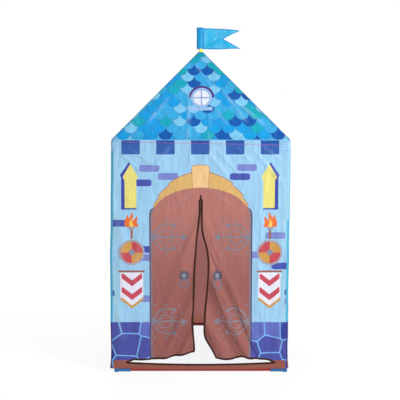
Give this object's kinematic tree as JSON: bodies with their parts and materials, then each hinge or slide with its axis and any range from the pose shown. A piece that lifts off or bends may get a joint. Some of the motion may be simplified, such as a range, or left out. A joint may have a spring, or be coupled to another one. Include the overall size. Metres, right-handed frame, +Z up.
{
  "type": "play tent",
  "caption": "Castle-tower play tent for children: a printed cloth cover with door flaps and a pyramid roof over a push-fit tube frame, topped by a swallowtail flag.",
  "frame": {"origin": "on the floor, under the middle of the tent", "axes": "+Z up, -Y the front with the door, +X to the right seen from the front"},
  "size_m": [0.7018, 0.7107, 1.4015],
  "materials": {
    "connector_plastic": "satin moulded plastic",
    "red_tube": "extruded plastic tube, semi-gloss",
    "yellow_tube": "extruded plastic tube, semi-gloss",
    "wall_cloth": "printed synthetic cloth",
    "roof_cloth": "printed synthetic cloth",
    "door_cloth": "printed synthetic cloth",
    "flag_cloth": "dyed synthetic cloth",
    "binding_tape": "woven tape",
    "elastic_band": "woven elastic"
  },
  "bodies": {
    "tent": {"base_corner_front_left": "connector_plastic", "base_corner_front_right": "connector_plastic", "base_corner_back_right": "connector_plastic", "base_corner_back_left": "connector_plastic", "base_tube_front": "red_tube", "base_tube_right": "red_tube", "base_tube_back": "red_tube", "base_tube_left": "red_tube", "post_lower_front_left": "yellow_tube", "post_lower_front_right": "yellow_tube", "post_lower_back_right": "yellow_tube", "post_lower_back_left": "yellow_tube", "post_coupler_front_left": "connector_plastic", "post_coupler_front_right": "connector_plastic", "post_coupler_back_right": "connector_plastic", "post_coupler_back_left": "connector_plastic", "post_upper_front_left": "yellow_tube", "post_upper_front_right": "yellow_tube", "post_upper_back_right": "yellow_tube", "post_upper_back_left": "yellow_tube", "eave_corner_front_left": "connector_plastic", "eave_corner_front_right": "connector_plastic", "eave_corner_back_right": "connector_plastic", "eave_corner_back_left": "connector_plastic", "eave_tube_front": "red_tube", "eave_tube_right": "red_tube", "eave_tube_back": "red_tube", "eave_tube_left": "red_tube", "hip_tube_front_left": "yellow_tube", "hip_tube_front_right": "yellow_tube", "hip_tube_back_right": "yellow_tube", "hip_tube_back_left": "yellow_tube", "apex_hub": "connector_plastic", "flag_pole": "yellow_tube", "front_wall": "wall_cloth", "right_wall": "wall_cloth", "back_wall": "wall_cloth", "left_wall": "wall_cloth", "roof_panel_front": "roof_cloth", "roof_panel_right": "roof_cloth", "roof_panel_back": "roof_cloth", "roof_panel_left": "roof_cloth", "eave_patch_front_left": "wall_cloth", "eave_patch_front_right": "wall_cloth", "eave_patch_back_right": "wall_cloth", "eave_patch_back_left": "wall_cloth", "hem_loop_front_left": "elastic_band", "hem_loop_front_right": "elastic_band", "hem_loop_back_right": "elastic_band", "hem_loop_back_left": "elastic_band", "sill_binding": "binding_tape"},
    "left_flap": {"door_flap_left": "door_cloth", "door_flap_left_binding": "binding_tape"},
    "right_flap": {"door_flap_right": "door_cloth", "door_flap_right_binding": "binding_tape"},
    "flag_cloth": {"flag": "flag_cloth"}
  },
  "joints": [
    {"name": "left_flap_swing", "type": "hinge", "parent": "tent", "child": "left_flap", "pos_m": [0, -0.35, 0.7115], "axis": [-0.4059, 0, -0.9139], "range_deg": [-75, 150]},
    {"name": "right_flap_swing", "type": "hinge", "parent": "tent", "child": "right_flap", "pos_m": [0, -0.35, 0.7115], "axis": [-0.4059, 0, 0.9139], "range_deg": [-75, 150]},
    {"name": "flag_turn", "type": "hinge", "parent": "tent", "child": "flag_cloth", "pos_m": [0, 0, 1.3108], "axis": [0, 0, 1], "continuous": true}
  ]
}
